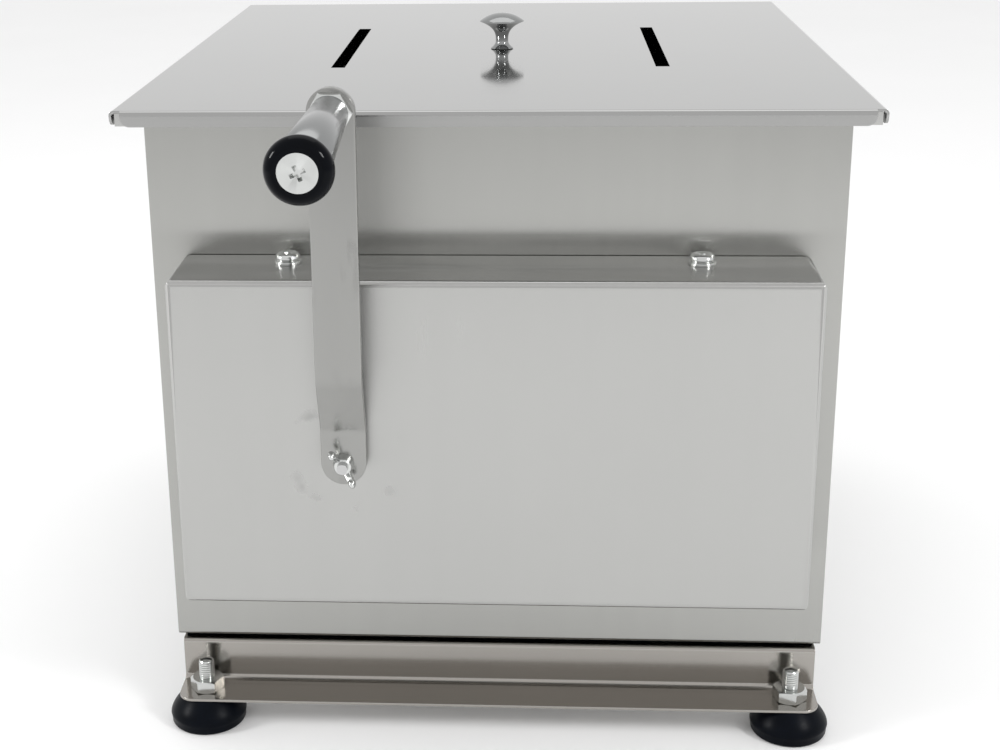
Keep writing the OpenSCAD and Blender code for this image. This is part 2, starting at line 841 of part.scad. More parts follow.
// One paddle pointing up: a collar on the shaft, a flat arm and a wider flat tip.
module paddle() {
    difference() {
        union() {
            rod(collar_diameter, collar_length, collar_length / 2);
            translate([-paddle_thickness / 2, -paddle_arm_width / 2, shaft_diameter / 2])
                cube([paddle_thickness, paddle_arm_width, paddle_radius - shaft_diameter / 2
                      - paddle_tip_height / 2]);
        }
        rod(shaft_diameter + 2 * part_gap, 2 * collar_length, collar_length);
    }
    intersection() {
        translate([-paddle_thickness / 2, -paddle_tip_width / 2, paddle_radius - paddle_tip_height])
            cube([paddle_thickness, paddle_tip_width, paddle_tip_height]);
        rod(2 * paddle_radius, 2 * paddle_tip_width, paddle_tip_width);
    }
}

// A row of paddles a quarter turn apart, starting `start` behind the front plate's face.
module paddle_row(start) {
    for (number = [0 : paddle_count - 1])
        translate([0, start + number * paddle_pitch, 0])
            rotate([0, 90 * number, 0]) paddle();
}

module drive_paddles() color("silver") on_body() at_shaft(-1) paddle_row(paddle_first);

module driven_paddles() color("silver") on_body() at_shaft(1)
    paddle_row(paddle_first + paddle_pitch / 2);

// ---------------------------------------------------------------- crank

// Points along an arc.
function arc(centre, radius, from, to) = [
    for (step = [0 : bend_steps])
        let (angle = from + (to - from) * step / bend_steps)
            centre + radius * [cos(angle), sin(angle)]
];

// Side outline of the arm: forwards is +X and up is +Y, counted from the arm's back
// face and the shaft's axis. It runs past both ends, which the front outline rounds.
// Two opposite bends with a straight slope between them carry the arm forwards, and
// its upper part stays tipped forwards by the droop of the grip.
module arm_side() {
    half = arm_thickness / 2;
    end_normal = [cos(grip_droop), -sin(grip_droop)];
    front_end = [arm_thickness + arm_offset, crank_length];
    top_run = arm_width * [sin(grip_droop), cos(grip_droop)];
    low_centre = [half + low_bend_radius, joggle_start];
    bends_forward = low_bend_radius * (1 - cos(joggle_angle))
                    + high_bend_radius * (cos(grip_droop) - cos(joggle_angle));
    bends_up = low_bend_radius * sin(joggle_angle)
               + high_bend_radius * (sin(joggle_angle) - sin(grip_droop));
    straight_run = front_end - half * end_normal - [half, joggle_start] - [bends_forward, bends_up];
    slope_length = straight_run * end_normal / sin(joggle_angle - grip_droop);
    slope_start = low_centre + low_bend_radius * [-cos(joggle_angle), sin(joggle_angle)];
    slope_end = slope_start + slope_length * [sin(joggle_angle), cos(joggle_angle)];
    high_centre = slope_end + high_bend_radius * [-cos(joggle_angle), sin(joggle_angle)];
    polygon(concat(
        [[0, -arm_width], [arm_thickness, -arm_width]],
        arc(low_centre, low_bend_radius - half, 180, 180 - joggle_angle),
        arc(high_centre, high_bend_radius + half, -joggle_angle, -grip_droop),
        [front_end + top_run, front_end + top_run - arm_thickness * end_normal],
        arc(high_centre, high_bend_radius - half, -grip_droop, -joggle_angle),
        arc(low_centre, low_bend_radius + half, 180 - joggle_angle, 180)
    ));
}

// Outline of the arm seen from the front: a bar with round ends.
module arm_face() {
    circle(d = arm_width);
    translate([-arm_width / 2, 0]) square([arm_width, crank_length]);
    translate([0, crank_length]) circle(d = arm_width);
}

module crank_arm() color("silver") on_body() difference() {
    at_crank() intersection() {
        translate([arm_width, -arm_back, 0])
            rotate([90, 0, -90]) linear_extrude(2 * arm_width) arm_side();
        rotate([90, 0, 0]) linear_extrude(grip_seat + arm_width) arm_face();
    }
    at_crank()
        translate([-square_size / 2 - part_gap, -arm_front - overshoot, -square_size / 2 - part_gap])
            cube([square_size + 2 * part_gap, arm_thickness + 2 * overshoot, square_size + 2 * part_gap]);
    at_grip() rod(axle_diameter + 2 * part_gap, arm_thickness + 2 * overshoot, grip_seat + overshoot);
}

// One wing, pointing along +X and leaning forwards.
module wing() {
    translate([0, 0, -wing_thickness / 2])
        linear_extrude(wing_thickness)
            hull() {
                translate([wing_root_start, -wing_root_low - wing_root_height])
                    square([wing_thickness, wing_root_height]);
                translate([wing_span / 2 - wing_tip_radius,
                           wing_tip_radius - wing_boss_height - wing_lean])
                    circle(wing_tip_radius);
            }
}

module wing_nut() color("white") on_body() at_crank()
    difference() {
        union() {
            translate([0, -arm_front, 0])
                rotate([90, 0, 0])
                    cylinder(d1 = wing_boss_root, d2 = wing_boss_tip, h = wing_boss_height);
            for (turn = [0, 180])
                translate([0, -arm_front, 0])
                    rotate([0, turn - wing_angle, 0]) wing();
        }
        rod(wing_thread_diameter + 2 * part_gap, 4 * wing_thread_length, arm_front + 2 * wing_thread_length);
    }

module grip_axle() color("darkgray") on_body() at_grip() {
    head_back = grip_seat - arm_thickness - axle_head_height;
    rod(axle_head_diameter, axle_head_height, grip_seat - arm_thickness);
    difference() {
        rod(axle_diameter, axle_front - head_back, axle_front);
        rod(grip_screw_diameter + 2 * part_gap, grip_screw_length + overshoot, axle_front + overshoot);
    }
}

module grip_lock_nut() color("white") on_body() at_grip()
    difference() {
        translate([0, -grip_seat, 0]) rotate([90, 0, 0]) hex_prism(lock_nut_flats, lock_nut_height);
        rod(axle_diameter + 2 * part_gap, 3 * lock_nut_height, grip_seat + 2 * lock_nut_height);
    }

module grip_screw() color("white") on_body() at_grip()
    difference() {
        union() {
            rod(grip_screw_head, grip_screw_head_height, axle_front + grip_screw_head_height);
            rod(grip_screw_diameter, grip_screw_length - part_gap, axle_front);
        }
        for (turn = [0, 90])
            rotate([0, turn, 0])
                translate([-recess_span / 2, -axle_front - grip_screw_head_height - recess_depth,
                           -recess_width / 2])
                    cube([recess_span, 2 * recess_depth, recess_width]);
    }

module grip_tube() color("white") on_body() at_grip()
    translate([0, -grip_back, 0])
        rotate([90, 0, 0])
            difference() {
                cylinder(d1 = grip_root_diameter, d2 = grip_tip_diameter, h = tube_length);
                cylinder(d1 = grip_root_diameter - 2 * grip_wall, d2 = grip_tip_diameter - 2 * grip_wall,
                         h = tube_length);
            }

module grip_bush() color("ivory") on_body() at_grip()
    difference() {
        rod(grip_root_diameter - 2 * grip_wall - 2 * part_gap, grip_bush_length,
            grip_back + grip_bush_length);
        rod(axle_diameter + 2 * running_gap, 3 * grip_bush_length, grip_back + 2 * grip_bush_length);
    }

// Half section of the end cap: the spigot in the tube, the shoulder and the bulge.
module cap_section() {
    bulge_centre = cap_diameter / 2 - cap_bulge_radius;
    polygon([
        [0, -cap_spigot],
        [spigot_back_diameter / 2, -cap_spigot],
        [spigot_front_diameter / 2, 0],
        [spigot_front_diameter / 2, overshoot],
        [0, overshoot]
    ]);
    square([grip_tip_diameter / 2 + cap_shoulder, cap_length - cap_bulge_radius]);
    square([bulge_centre, cap_length]);
    translate([bulge_centre, cap_length - cap_bulge_radius]) circle(cap_bulge_radius);
}

module grip_end_cap() color("#15171c") on_body() at_grip()
    translate([0, -grip_front + cap_length, 0])
        rotate([90, 0, 0])
            difference() {
                rotate_extrude() cap_section();
                translate([0, 0, -2 * cap_spigot])
                    cylinder(d = axle_diameter + 2 * running_gap, h = 2 * cap_spigot + 2 * cap_length);
                translate([0, 0, cap_length - cap_recess_depth])
                    cylinder(d = cap_recess_diameter, h = cap_length);
            }

// ---------------------------------------------------------------- nodes

front_plate();
back_plate();
tank_wall();
tank_rim();
front_rail();
rear_rail();
front_packing();
rear_packing();
base_screws();
base_nuts();
feet();
foot_studs();
foot_nuts();
upper_bracket();
lower_bracket();
bracket_nuts();
gear_cover();
cover_screws();
cover_washers();
cover_bush();
front_bushes();
shaft_seals();
rear_bushes();
rear_cups();
lid();
lid_knob();
knob_screw();
knob_washer();
drive_shaft();
drive_paddles();
drive_gear();
drive_key();
drive_ring();
driven_shaft();
driven_paddles();
driven_gear();
driven_key();
driven_ring();
crank_arm();
wing_nut();
grip_axle();
grip_lock_nut();
grip_screw();
grip_tube();
grip_bush();
grip_end_cap();
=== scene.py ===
"""Looks of a hand-cranked meat mixer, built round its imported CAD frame.

X runs across the front, Y from front to back and Z up, in metres. Sizes of the
pieces made here are in millimetres and are scaled as each piece is placed.
"""

import json
import math

import bmesh
import bpy
from mathutils import Matrix, Vector


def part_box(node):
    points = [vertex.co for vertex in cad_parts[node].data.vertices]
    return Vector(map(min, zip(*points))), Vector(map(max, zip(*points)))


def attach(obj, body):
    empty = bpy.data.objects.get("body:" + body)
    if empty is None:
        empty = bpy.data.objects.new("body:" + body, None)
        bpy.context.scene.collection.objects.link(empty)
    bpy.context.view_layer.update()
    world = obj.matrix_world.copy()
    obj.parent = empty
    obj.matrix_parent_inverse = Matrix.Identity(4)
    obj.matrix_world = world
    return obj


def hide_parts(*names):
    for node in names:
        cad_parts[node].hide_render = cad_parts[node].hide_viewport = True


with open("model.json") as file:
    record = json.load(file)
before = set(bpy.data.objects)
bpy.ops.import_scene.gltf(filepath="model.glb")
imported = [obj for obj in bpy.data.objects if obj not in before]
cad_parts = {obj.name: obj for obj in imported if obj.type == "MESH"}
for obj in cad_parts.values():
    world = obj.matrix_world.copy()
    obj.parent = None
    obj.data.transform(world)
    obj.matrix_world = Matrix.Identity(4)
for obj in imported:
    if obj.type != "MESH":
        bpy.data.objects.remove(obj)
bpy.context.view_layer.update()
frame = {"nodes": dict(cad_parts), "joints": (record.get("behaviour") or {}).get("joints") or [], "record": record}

MM = 0.001
FORWARD = Matrix.Rotation(math.radians(90), 4, "X")  # turns a piece's own +Z to the frame's -Y
UPRIGHT = Matrix.Identity(4)


# ---------------------------------------------------------------- places from the frame


def joint(name):
    return next(j for j in frame["joints"] if j["name"] == name)


def front_of(node):
    """The Y of a CAD node's front end, in metres."""
    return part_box(node)[0].y


def top_of(node):
    """The Z of a CAD node's top, in metres."""
    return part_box(node)[1].z


def middle_of(node):
    low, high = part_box(node)
    return (low + high) / 2


def size_of(node):
    """A CAD node's extent along X, Y and Z, in millimetres."""
    low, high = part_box(node)
    return (high - low) / MM


SHAFT = Vector(joint("crank_turn")["pos_m"])
GRIP = Vector(joint("grip_spin")["pos_m"])  # where the grip's axis leaves the arm's front face
GRIP_AXIS = Vector(joint("grip_spin")["axis"]).normalized()
LEAN = math.atan2(GRIP.x - SHAFT.x, GRIP.z - SHAFT.z)
DROOP = math.asin(-GRIP_AXIS.z / math.cos(LEAN))
LEANING = Matrix.Rotation(LEAN, 4, "Y")
CRANKED = LEANING @ FORWARD  # forwards, and leaning with the resting crank
GRIPPED = LEANING @ Matrix.Rotation(DROOP, 4, "X") @ FORWARD  # along the grip's axis


def on_shaft(y):
    """The point of the crank's axis at a given Y."""
    return Vector((SHAFT.x, y, SHAFT.z))


def on_grip(distance):
    """The point of the grip's axis at a distance in mm from the arm's front face."""
    return GRIP + distance * MM * GRIP_AXIS


def span_along_grip(node):
    """Where a CAD node starts and ends along the grip's axis, in mm from the arm's front face."""
    shape = frame["nodes"][node]
    corners = [shape.matrix_world @ corner.co for corner in shape.data.vertices]
    distances = [(corner - GRIP).dot(GRIP_AXIS) / MM for corner in corners]
    return min(distances), max(distances)


def pair_places(node, piece_width):
    """The X of the left and the right piece of a node made of pieces of one width in mm."""
    low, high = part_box(node)
    half = piece_width * MM / 2
    return low.x + half, high.x - half


# ---------------------------------------------------------------- mesh helpers


def placed(builder, at, turn=UPRIGHT):
    """Scales a mesh drawn in millimetres to metres, turns it and moves it to a point."""
    builder.transform(Matrix.Translation(at) @ turn @ Matrix.Scale(MM, 4))
    return builder


def joined(builders):
    """One bmesh that holds several, which are used up."""
    whole = bmesh.new()
    for builder in builders:
        mesh = bpy.data.meshes.new("part")
        builder.to_mesh(mesh)
        builder.free()
        whole.from_mesh(mesh)
        bpy.data.meshes.remove(mesh)
    return whole


def piece(name, builder, node, body, material, smooth_angle=35):
    """A finished object made from a bmesh: it rides on a body and stands for a CAD node."""
    bmesh.ops.recalc_face_normals(builder, faces=builder.faces)
    limit = math.radians(smooth_angle)
    for edge in builder.edges:
        edge.smooth = len(edge.link_faces) == 2 and edge.calc_face_angle() < limit
    for face in builder.faces:
        face.smooth = True
    mesh = bpy.data.meshes.new(name)
    builder.to_mesh(mesh)
    builder.free()
    shape = bpy.data.objects.new(name, mesh)
    bpy.context.scene.collection.objects.link(shape)
    mesh.materials.append(MATERIALS[material])
    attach(shape, body)
    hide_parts(node)
    return shape


def arc(centre, radius, start, end, steps=6):
    """Points along an arc, from one angle in degrees to another."""
    points = []
    for step in range(steps + 1):
        angle = math.radians(start + (end - start) * step / steps)
        points.append((centre[0] + radius * math.cos(angle), centre[1] + radius * math.sin(angle)))
    return points


def revolved(profile, steps=72, closed=False):
    """A turned shape from (radius, height) points; `closed` joins the last to the first."""
    builder = bmesh.new()
    rings = []
    for radius, height in profile:
        if radius < 1e-6:
            rings.append([builder.verts.new((0, 0, height))])
            continue
        ring = []
        for step in range(steps):
            angle = 2 * math.pi * step / steps
            ring.append(builder.verts.new((radius * math.cos(angle), radius * math.sin(angle), height)))
        rings.append(ring)
    pairs = list(zip(rings, rings[1:]))
    if closed:
        pairs.append((rings[-1], rings[0]))
    for lower, upper in pairs:
        bridge(builder, lower, upper, steps)
    return builder


def bridge(builder, lower, upper, steps):
    """Faces between two rings, either of which may be a single point."""
    for step in range(steps):
        following = (step + 1) % steps
        if len(lower) == 1:
            builder.faces.new((lower[0], upper[following], upper[step]))
        elif len(upper) == 1:
            builder.faces.new((lower[step], lower[following], upper[0]))
        else:
            builder.faces.new((lower[step], lower[following], upper[following], upper[step]))


def cut_away(builder, cutter):
    """The first shape with the second taken out of it."""
    shapes = []
    for source in (builder, cutter):
        bmesh.ops.recalc_face_normals(source, faces=source.faces)
        mesh = bpy.data.meshes.new("cut")
        source.to_mesh(mesh)
        source.free()
        shape = bpy.data.objects.new("cut", mesh)
        bpy.context.scene.collection.objects.link(shape)
        shapes.append(shape)
    body, tool = shapes
    boolean = body.modifiers.new("cut", "BOOLEAN")
    boolean.operation = "DIFFERENCE"
    boolean.solver = "EXACT"
    boolean.use_self = True
    boolean.object = tool
    result = evaluated(body)
    for shape in shapes:
        mesh = shape.data
        bpy.data.objects.remove(shape)
        bpy.data.meshes.remove(mesh)
    return result


def evaluated(shape):
    """A bmesh of an object with its modifiers applied."""
    bpy.context.view_layer.update()
    graph = bpy.context.evaluated_depsgraph_get()
    result = bmesh.new()
    result.from_object(shape, graph)
    return result


def hexagon_radius(flats, angle):
    """Distance from a hexagon's centre to its side at an angle in radians."""
    sector = math.radians(60)
    return flats / 2 / math.cos((angle % sector) - sector / 2)


def hex_nut(flats, height, bore, steps_per_side=8):
    """A hexagon nut with chamfered corners and a countersunk bore."""
    chamfer_radius = flats / 2 * 0.97
    chamfer_slope = math.tan(math.radians(30))
    countersink = 0.6
    steps = 6 * steps_per_side
    builder = bmesh.new()
    columns = []
    for step in range(steps):
        angle = 2 * math.pi * step / steps
        side = hexagon_radius(flats, angle)
        drop = (side - chamfer_radius) * chamfer_slope
        profile = [
            (bore / 2, countersink),
            (bore / 2 + countersink, 0),
            (chamfer_radius, 0),
            (side, drop),
            (side, height - drop),
            (chamfer_radius, height),
            (bore / 2 + countersink, height),
            (bore / 2, height - countersink),
        ]
        columns.append(
            [builder.verts.new((r * math.cos(angle), r * math.sin(angle), z)) for r, z in profile]
        )
    for step in range(steps):
        here = columns[step]
        beyond = columns[(step + 1) % steps]
        for row in range(len(here)):
            above = (row + 1) % len(here)
            builder.faces.new((here[row], beyond[row], beyond[above], here[above]))
    return builder


def threaded_rod(diameter, pitch, bottom, top, steps=36):
    """A screw thread along +Z as one helical surface, with a chamfered and crowned top end."""
    depth = 0.61 * pitch
    rows_per_turn = 12
    rows = round((top - bottom) / pitch * rows_per_turn)
    chamfer = 1.0
    crown = 0.8
    profile_rings = []
    builder = bmesh.new()
    for row in range(rows + 1):
        z = bottom + (top - bottom) * row / rows
        ring = []
        for step in range(steps):
            phase = (z / pitch - step / steps) % 1
            groove = depth * max(0.0, 1 - abs(phase - 0.5) / 0.36)
            radius = min(diameter / 2 - groove, diameter / 2 - depth + (top - z) / chamfer * depth)
            angle = 2 * math.pi * step / steps
            ring.append(builder.verts.new((radius * math.cos(angle), radius * math.sin(angle), z)))
        profile_rings.append(ring)
    for lower, upper in zip(profile_rings, profile_rings[1:]):
        bridge(builder, lower, upper, steps)
    for ring, z in ((profile_rings[0], bottom), (profile_rings[-1], top + crown)):
        centre = builder.verts.new((0, 0, z))
        bridge(builder, [centre], ring, steps)
    return builder


def cross_recess(width, span, depth):
    """A cross-shaped cutter that narrows downwards, with its open end at z = 0."""
    bars = []
    for turn in (0, 90):
        bar = bmesh.new()
        bmesh.ops.create_cube(bar, size=1)
        for corner in bar.verts:
            share = 0.45 if corner.co.z < 0 else 1.0
            corner.co.x *= span * share
            corner.co.y *= width * (share + 1) / 2
            corner.co.z *= 2 * depth
        bar.transform(Matrix.Rotation(math.radians(turn), 4, "Z"))
        bars.append(bar)
    return joined(bars)


# ---------------------------------------------------------------- materials


class Recipe:
    """A Principled material under construction, with its colour, roughness and bump chains."""

    def __init__(self, name):
        self.material = bpy.data.materials.new(name)
        self.material.use_nodes = True
        self.nodes = self.material.node_tree.nodes
        self.links = self.material.node_tree.links
        self.shader = self.nodes["Principled BSDF"]
        self.place = self.nodes.new("ShaderNodeTexCoord").outputs["Object"]

    def noise(self, scale, stretch=(1, 1, 1), detail=3, roughness=0.5):
        """Noise in the piece's own metres; `scale` is cells for each metre."""
        mapping = self.nodes.new("ShaderNodeMapping")
        mapping.inputs["Scale"].default_value = [scale * share for share in stretch]
        texture = self.nodes.new("ShaderNodeTexNoise")
        texture.inputs["Scale"].default_value = 1
        texture.inputs["Detail"].default_value = detail
        texture.inputs["Roughness"].default_value = roughness
        self.links.new(self.place, mapping.inputs["Vector"])
        self.links.new(mapping.outputs["Vector"], texture.inputs["Vector"])
        return texture.outputs["Fac"]

    def ranged(self, value, low, high, start=0.3, end=0.7):
        """Maps a value between start and end to low and high."""
        node = self.nodes.new("ShaderNodeMapRange")
        node.inputs["From Min"].default_value = start
        node.inputs["From Max"].default_value = end
        node.inputs["To Min"].default_value = low
        node.inputs["To Max"].default_value = high
        self.links.new(value, node.inputs["Value"])
        return node.outputs["Result"]

    def combine(self, first, second, operation="ADD"):
        node = self.nodes.new("ShaderNodeMath")
        node.operation = operation
        self.links.new(first, node.inputs[0])
        self.links.new(second, node.inputs[1])
        return node.outputs["Value"]

    def blended(self, mask, first, second):
        """A colour that runs from the first to the second as the mask goes from 0 to 1."""
        node = self.nodes.new("ShaderNodeMix")
        node.data_type = "RGBA"
        for socket, colour in ((node.inputs[6], first), (node.inputs[7], second)):
            if hasattr(colour, "links"):
                self.links.new(colour, socket)
            else:
                socket.default_value = (*colour, 1)
        self.links.new(mask, node.inputs[0])
        return node.outputs[2]

    def bump(self, height, depth, strength=1.0, under=None):
        """Bump of a depth in millimetres."""
        node = self.nodes.new("ShaderNodeBump")
        node.inputs["Strength"].default_value = strength
        node.inputs["Distance"].default_value = depth * MM
        self.links.new(height, node.inputs["Height"])
        if under is not None:
            self.links.new(under, node.inputs["Normal"])
        return node.outputs["Normal"]

    def finish(self, colour, roughness, normal=None, metallic=0.0):
        self.links.new(colour, self.shader.inputs["Base Color"])
        self.links.new(roughness, self.shader.inputs["Roughness"])
        if normal is not None:
            self.links.new(normal, self.shader.inputs["Normal"])
        self.shader.inputs["Metallic"].default_value = metallic
        return self.material


ALONG_X = (0.02, 1, 1)
ALONG_Y = (1, 0.02, 1)
ALONG_Z = (1, 1, 0.02)


def shade(colour, share):
    return tuple(channel * share for channel in colour)


def brushed_steel(name, colour, roughness, along, grain=0.012, scuffs=None, spread=0.0, dull=None):
    """Brushed sheet: fine lines along one axis, cloudy patches and optional scuff marks.

    `spread` widens reflections across upright brushing, level with the floor.
    `scuffs` and `dull` give masks for rub marks and for places without polish.
    """
    recipe = Recipe(name)
    if spread:
        across = recipe.nodes.new("ShaderNodeTangent")
        across.direction_type = "RADIAL"
        across.axis = "Z"
        recipe.links.new(across.outputs["Tangent"], recipe.shader.inputs["Tangent"])
        recipe.shader.inputs["Anisotropic"].default_value = spread
    lines = recipe.noise(2600, along, detail=4, roughness=0.65)
    streaks = recipe.noise(160, along, detail=3)
    clouds = recipe.noise(9, detail=4, roughness=0.6)
    marks = recipe.combine(recipe.ranged(lines, 0, 1), recipe.ranged(streaks, 0, 1))
    fine = recipe.ranged(marks, 1 - grain, 1 + grain, 0.2, 1.8)
    patch = recipe.ranged(clouds, 0.985, 1.015)
    share = recipe.combine(fine, patch, "MULTIPLY")
    rough = recipe.combine(
        recipe.ranged(clouds, roughness * 0.92, roughness * 1.08),
        recipe.ranged(marks, -0.01, 0.01, 0.2, 1.8),
    )
    if scuffs is not None:
        mask = scuffs(recipe)
        share = recipe.combine(share, recipe.ranged(mask, 1, 0.88, 0, 1), "MULTIPLY")
        rough = recipe.combine(rough, recipe.ranged(mask, 0, 0.12, 0, 1))
    if dull is not None:
        dulling = 0.25
        rough = recipe.combine(rough, recipe.ranged(dull(recipe), 0, dulling, 0, 1))
    tint = recipe.nodes.new("ShaderNodeVectorMath")
    tint.operation = "SCALE"
    tint.inputs[0].default_value = colour
    recipe.links.new(share, tint.inputs["Scale"])
    normal = recipe.bump(lines, 0.0015, 0.4)
    return recipe.finish(tint.outputs["Vector"], rough, normal, metallic=1.0)


def hub_scuffs(recipe):
    """Broken rings of rub marks round the crank's hub, as a mask from 0 to 1."""
    ring_radius = 0.026
    ring_width = 0.004
    offset = recipe.nodes.new("ShaderNodeVectorMath")
    offset.operation = "SUBTRACT"
    offset.inputs[1].default_value = SHAFT
    recipe.links.new(recipe.place, offset.inputs[0])
    flat = recipe.nodes.new("ShaderNodeVectorMath")
    flat.operation = "MULTIPLY"
    flat.inputs[1].default_value = (1, 0, 1)
    recipe.links.new(offset.outputs["Vector"], flat.inputs[0])
    distance = recipe.nodes.new("ShaderNodeVectorMath")
    distance.operation = "LENGTH"
    recipe.links.new(flat.outputs["Vector"], distance.inputs[0])
    inside = recipe.ranged(distance.outputs["Value"], 0, 1, ring_radius - ring_width, ring_radius)
    outside = recipe.ranged(distance.outputs["Value"], 1, 0, ring_radius, ring_radius + ring_width)
    ring = recipe.combine(inside, outside, "MULTIPLY")
    patches = recipe.ranged(recipe.noise(75, detail=4), 0, 1, 0.52, 0.66)
    return recipe.combine(ring, patches, "MULTIPLY")


def turned_down_edge(recipe):
    """The lid's edges below its flat top, as a mask from 0 to 1."""
    place = recipe.nodes.new("ShaderNodeSeparateXYZ")
    recipe.links.new(recipe.place, place.inputs["Vector"])
    top = top_of("lid")
    return recipe.ranged(place.outputs["Z"], 1, 0, top - 3 * MM, top - 1 * MM)


def arm_scuffs(recipe):
    """A few pale scratches across and along the crank arm, as a mask from 0 to 1."""
    crossing = recipe.ranged(recipe.noise(90, (1, 1, 0.25), detail=5), 0, 1, 0.6, 0.72)
    places = recipe.ranged(recipe.noise(30, detail=2), 0, 1, 0.5, 0.6)
    return recipe.combine(crossing, places, "MULTIPLY")


def polished_metal(name, colour, roughness, wear=0.04):
    """Plated or polished metal with faint cloudy wear and fine pits."""
    recipe = Recipe(name)
    clouds = recipe.noise(160, detail=5, roughness=0.6)
    pits = recipe.noise(1400, detail=3)
    tint = recipe.blended(recipe.ranged(clouds, 0, 1), shade(colour, 1 - wear), shade(colour, 1 + wear))
    rough = recipe.combine(
        recipe.ranged(clouds, roughness * 0.8, roughness * 1.3),
        recipe.ranged(pits, 0, 0.05, 0.55, 0.8),
    )
    normal = recipe.bump(pits, 0.01, 0.3)
    return recipe.finish(tint, rough, normal, metallic=1.0)


def moulded(name, colour, roughness, grain_scale, grain_depth, wear=0.25, gloss=0.5):
    """Rubber or plastic with a fine moulded grain and slightly polished patches."""
    recipe = Recipe(name)
    recipe.shader.inputs["Specular IOR Level"].default_value = gloss
    clouds = recipe.noise(90, detail=4, roughness=0.6)
    grain = recipe.noise(grain_scale, detail=3)
    tint = recipe.blended(recipe.ranged(clouds, 0, 1), shade(colour, 1 - wear), shade(colour, 1 + wear))
    rough = recipe.combine(
        recipe.ranged(clouds, roughness * 0.9, roughness * 1.12),
        recipe.ranged(grain, -0.03, 0.03),
    )
    normal = recipe.bump(grain, grain_depth, 0.6)
    return recipe.finish(tint, rough, normal)


def make_materials():
    """One material for each material slot of the record."""
    return {
        "plate_steel": brushed_steel(
            "plate_steel", (0.39, 0.39, 0.375), 0.25, ALONG_Z, grain=0.02, spread=0.95
        ),
        "tank_steel": brushed_steel("tank_steel", (0.48, 0.48, 0.47), 0.24, ALONG_Y),
        "rail_steel": brushed_steel("rail_steel", (0.37, 0.352, 0.328), 0.17, ALONG_X),
        "cover_steel": brushed_steel(
            "cover_steel", (0.43, 0.43, 0.42), 0.25, ALONG_Z, scuffs=hub_scuffs, spread=0.9
        ),
        "lid_steel": brushed_steel(
            "lid_steel", (0.385, 0.385, 0.38), 0.09, ALONG_X, grain=0.006, dull=turned_down_edge
        ),
        "arm_steel": brushed_steel("arm_steel", (0.32, 0.32, 0.31), 0.22, ALONG_Z, scuffs=arm_scuffs),
        "shaft_steel": brushed_steel("shaft_steel", (0.50, 0.50, 0.50), 0.26, ALONG_X),
        "gear_steel": brushed_steel("gear_steel", (0.36, 0.36, 0.37), 0.34, ALONG_Y),
        "polished_steel": polished_metal("polished_steel", (0.29, 0.295, 0.295), 0.09),
        "zinc_plate": polished_metal("zinc_plate", (0.60, 0.61, 0.60), 0.17),
        "foot_rubber": moulded("foot_rubber", (0.0012, 0.0022, 0.0045), 0.34, 900, 0.02, gloss=0.07),
        "black_plastic": moulded("black_plastic", (0.001, 0.0015, 0.0028), 0.08, 600, 0.004, gloss=0.08),
        "nylon": moulded("nylon", (0.78, 0.75, 0.66), 0.5, 1200, 0.02, wear=0.05),
    }


MATERIALS = make_materials()


# ---------------------------------------------------------------- pieces


def dress_cad_nodes():
    """Gives every CAD node its material, and rounds the edges of the visible sheets."""
    slots = {row["node"]: row["material_slot"] for row in frame["record"]["subparts"]}
    for name, shape in frame["nodes"].items():
        shape.data.materials.clear()
        shape.data.materials.append(MATERIALS[slots[name]])
        soften(shape)


def soften(shape, width=0.25):
    """Joins a CAD mesh's split corners and rounds its sharp edges by a small bevel."""
    weld = shape.modifiers.new("weld", "WELD")
    weld.merge_threshold = 0.002 * MM
    bevel = shape.modifiers.new("bevel", "BEVEL")
    bevel.width = width * MM
    bevel.segments = 2
    bevel.limit_method = "ANGLE"
    bevel.angle_limit = math.radians(40)
    bevel.use_clamp_overlap = True
    normals = shape.modifiers.new("normals", "WEIGHTED_NORMAL")
    normals.keep_sharp = False


STUD_DIAMETER = 8
STUD_PITCH = 1.25
NUT_FLATS = 15
NUT_TURN = 5  # degrees from a flat that faces forwards, on the first foot
NUT_TURN_STEP = -10.5  # how much further the nut of each next foot is turned


def foot_diameter():
    """A foot's diameter in millimetres, from the feet's and the studs' outer extents."""
    feet = size_of("feet")
    studs = size_of("foot_studs")
    return feet.x - studs.x + STUD_DIAMETER


def foot_places():
    """Where the four feet stand."""
    low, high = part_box("foot_studs")
    half = STUD_DIAMETER * MM / 2
    return [
        Vector((x, y, 0))
        for x in (low.x + half, high.x - half)
        for y in (low.y + half, high.y - half)
    ]


def rubber_foot(diameter, height):
    """A black rubber dome on an upright rim with a rounded lower edge."""
    widest = diameter / 2
    tread = widest * 0.8
    rim_low = 1.6
    rim_high = 5.2
    neck = widest * 0.62
    fullness = 1.6  # 1 would make the dome a straight cone
    profile = [(0, 0.6), (tread - 0.6, 0.6), (tread, 0)]
    profile += arc((widest - rim_low - 0.5, rim_low), rim_low, -90, 0, 5)
    profile += [(widest - 0.3, rim_high - 0.8), (widest, rim_high)]
    for share in steps_to_one(12):
        profile.append((widest - (widest - neck) * share**fullness, rim_high + (height - rim_high) * share))
    profile += [(0, height)]
    return revolved(profile)


